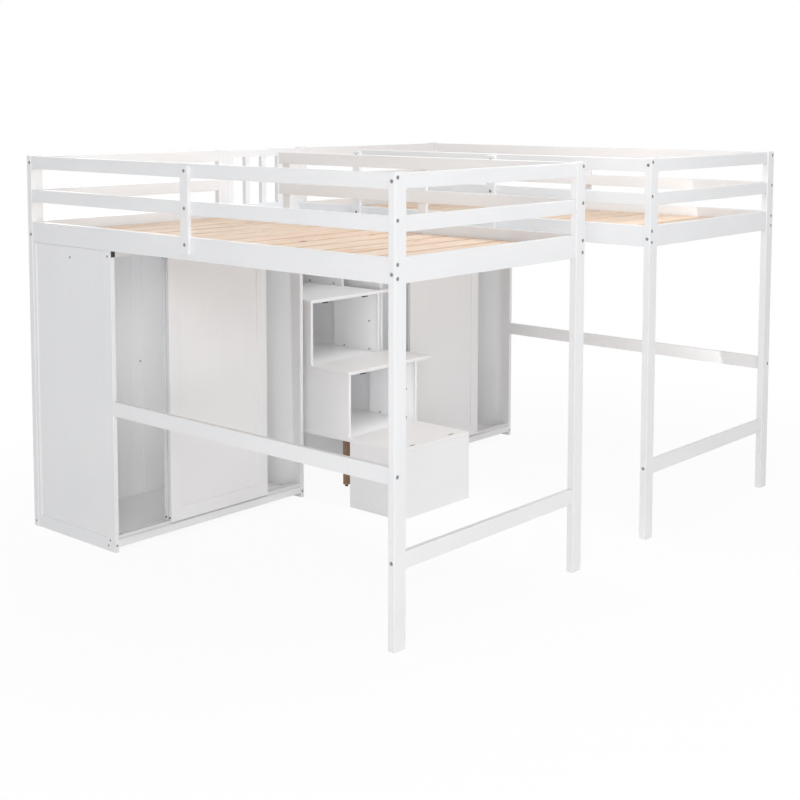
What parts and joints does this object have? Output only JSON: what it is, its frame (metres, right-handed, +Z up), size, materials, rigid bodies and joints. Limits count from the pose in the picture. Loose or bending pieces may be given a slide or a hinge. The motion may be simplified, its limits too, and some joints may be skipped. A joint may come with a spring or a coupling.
{
  "type": "loft bed",
  "caption": "Side-by-side loft beds with slatted decks and guard rails, a central box stair to a landing, and sliding-door wardrobes below the head end.",
  "frame": {"origin": "on the floor, midway between the outer sides of the two beds and midway between the foot and head posts", "axes": "+X from the left bed to the right bed as seen from the foot end, +Y from the foot end to the head end, +Z up"},
  "size_m": [2.598, 2.008, 1.54],
  "materials": {
    "white_paint": "satin white paint over pine and board",
    "bare_pine": "planed bare pine with growth rings and small knots",
    "track_plastic": "extruded light grey plastic",
    "glide_plastic": "moulded dark nylon",
    "black_plastic": "moulded black plastic",
    "grey_steel": "nickel plated steel, dull grey",
    "zinc_steel": "zinc plated steel",
    "rod_metal": "plated steel tube",
    "black_rubber": "moulded black rubber",
    "brown_wood": "planed square leg of bare brown wood"
  },
  "bodies": {
    "frame": {"left_foot_outer_post": "white_paint", "left_foot_inner_post": "white_paint", "left_head_outer_post": "white_paint", "left_head_inner_post": "white_paint", "left_side_bed_rails": "white_paint", "left_end_bed_rails": "white_paint", "left_outer_guard_rails": "white_paint", "left_inner_guard_rails": "white_paint", "left_end_guard_rails": "white_paint", "left_guard_posts": "white_paint", "left_stretchers": "white_paint", "left_slat_ledgers": "bare_pine", "left_slats": "bare_pine", "left_wardrobe_outer_side": "white_paint", "left_wardrobe_inner_side": "white_paint", "left_wardrobe_decks": "white_paint", "left_wardrobe_back": "white_paint", "left_door_tracks": "track_plastic", "left_hanging_rod": "rod_metal", "right_foot_outer_post": "white_paint", "right_foot_inner_post": "white_paint", "right_head_outer_post": "white_paint", "right_head_inner_post": "white_paint", "right_side_bed_rails": "white_paint", "right_end_bed_rails": "white_paint", "right_outer_guard_rails": "white_paint", "right_inner_guard_rails": "white_paint", "right_end_guard_rails": "white_paint", "right_guard_posts": "white_paint", "right_stretchers": "white_paint", "right_slat_ledgers": "bare_pine", "right_slats": "bare_pine", "right_wardrobe_outer_side": "white_paint", "right_wardrobe_inner_side": "white_paint", "right_wardrobe_decks": "white_paint", "right_wardrobe_back": "white_paint", "right_door_tracks": "track_plastic", "right_hanging_rod": "rod_metal", "track_end_caps": "black_plastic", "rod_sockets": "track_plastic", "landing_guard_panel": "white_paint", "landing_beam": "white_paint", "step_sides": "white_paint", "step_backs": "white_paint", "step_treads": "white_paint", "step_riser": "white_paint", "step_leg": "brown_wood", "step_leg_foot": "black_rubber", "frame_bolts": "grey_steel", "barrel_nuts": "zinc_steel", "panel_screws": "grey_steel", "tread_caps": "black_rubber"},
    "left_front_sliding_door": {"left_front_door": "white_paint", "left_front_door_fittings": "glide_plastic"},
    "left_rear_sliding_door": {"left_rear_door": "white_paint", "left_rear_door_fittings": "glide_plastic"},
    "right_front_sliding_door": {"right_front_door": "white_paint", "right_front_door_fittings": "glide_plastic"},
    "right_rear_sliding_door": {"right_rear_door": "white_paint", "right_rear_door_fittings": "glide_plastic"}
  },
  "joints": [
    {"name": "left_front_door_slide", "type": "slide", "parent": "frame", "child": "left_front_sliding_door", "axis": [1, 0, 0], "range_m": [-0.26, 0.196]},
    {"name": "left_rear_door_slide", "type": "slide", "parent": "frame", "child": "left_rear_sliding_door", "axis": [1, 0, 0], "range_m": [-0.26, 0.196]},
    {"name": "right_front_door_slide", "type": "slide", "parent": "frame", "child": "right_front_sliding_door", "axis": [1, 0, 0], "range_m": [-0.196, 0.26]},
    {"name": "right_rear_door_slide", "type": "slide", "parent": "frame", "child": "right_rear_sliding_door", "axis": [1, 0, 0], "range_m": [-0.196, 0.26]}
  ]
}
